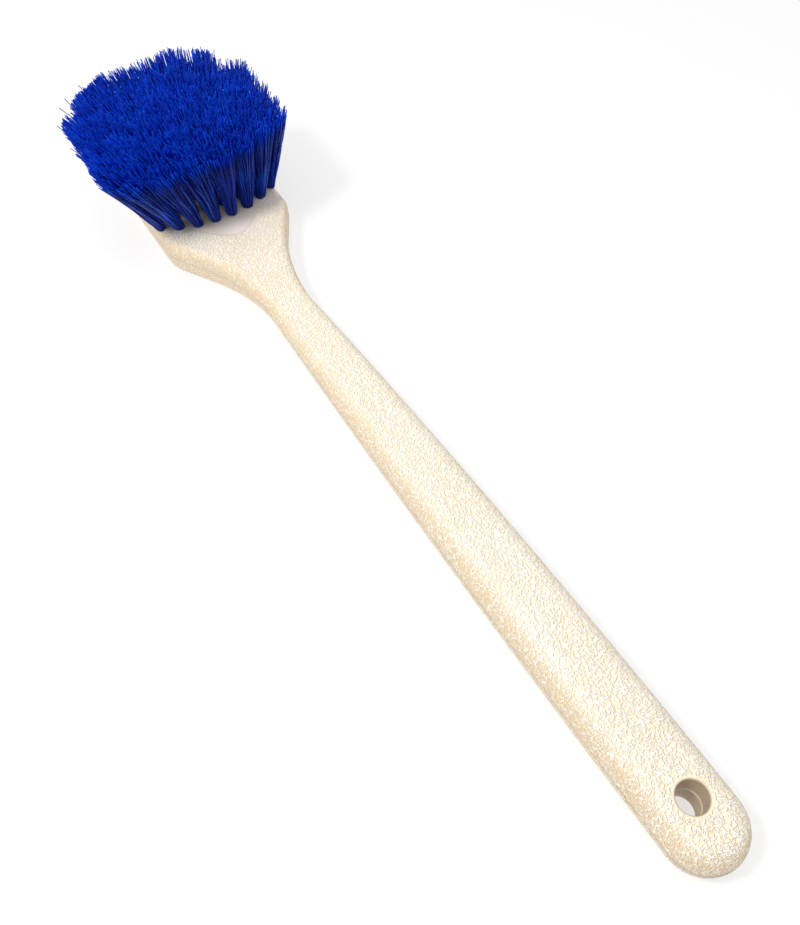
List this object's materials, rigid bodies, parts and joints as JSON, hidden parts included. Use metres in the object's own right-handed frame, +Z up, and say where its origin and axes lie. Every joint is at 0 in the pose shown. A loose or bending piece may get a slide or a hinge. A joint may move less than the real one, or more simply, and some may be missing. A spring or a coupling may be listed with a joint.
{
  "type": "wheel brush",
  "caption": "Long-handled wheel brush with a flared flat head, a fan of stiff trimmed bristle tufts and a hang hole through the end of its handle.",
  "frame": {"origin": "middle of the overall length, on the surface the brush lies on, back down and bristles up", "axes": "+X along the handle from the hang hole to the head, +Z up along the bristles, +Y across"},
  "size_m": [0.5081, 0.1066, 0.0698],
  "materials": {
    "block_plastic": "cream foamed plastic with a moulded leather grain, smooth only on the bristle pad and in the hang hole",
    "bristle": "stiff round synthetic filaments, deep blue, glossy along their length and cut square at the tips",
    "anchor_wire": "flat drawn steel wire, cut to length"
  },
  "bodies": {
    "root": {"handle_block": "block_plastic", "staple_anchors": "anchor_wire", "tuft_row1_1": "bristle", "tuft_row2_1": "bristle", "tuft_row3_1": "bristle", "tuft_row4_1": "bristle", "tuft_row5_1": "bristle", "tuft_row1_2": "bristle", "tuft_row2_2": "bristle", "tuft_row3_2": "bristle", "tuft_row4_2": "bristle", "tuft_row5_2": "bristle", "tuft_row6_2": "bristle", "tuft_row7_2": "bristle", "tuft_row1_3": "bristle", "tuft_row2_3": "bristle", "tuft_row3_3": "bristle", "tuft_row4_3": "bristle", "tuft_row5_3": "bristle", "tuft_row6_3": "bristle", "tuft_row7_3": "bristle", "tuft_row8_3": "bristle", "tuft_row1_4": "bristle", "tuft_row2_4": "bristle", "tuft_row3_4": "bristle", "tuft_row4_4": "bristle", "tuft_row5_4": "bristle", "tuft_row6_4": "bristle", "tuft_row7_4": "bristle", "tuft_row8_4": "bristle", "tuft_row1_5": "bristle", "tuft_row2_5": "bristle", "tuft_row3_5": "bristle", "tuft_row4_5": "bristle", "tuft_row5_5": "bristle", "tuft_row6_5": "bristle", "tuft_row7_5": "bristle", "tuft_row8_5": "bristle", "tuft_row1_6": "bristle", "tuft_row2_6": "bristle", "tuft_row3_6": "bristle", "tuft_row4_6": "bristle", "tuft_row5_6": "bristle", "tuft_row6_6": "bristle", "tuft_row7_6": "bristle", "tuft_row8_6": "bristle", "tuft_row1_7": "bristle", "tuft_row2_7": "bristle", "tuft_row3_7": "bristle", "tuft_row4_7": "bristle", "tuft_row5_7": "bristle", "tuft_row6_7": "bristle", "tuft_row7_7": "bristle", "tuft_row1_8": "bristle", "tuft_row2_8": "bristle", "tuft_row3_8": "bristle", "tuft_row4_8": "bristle", "tuft_row5_8": "bristle"}
  },
  "joints": []
}
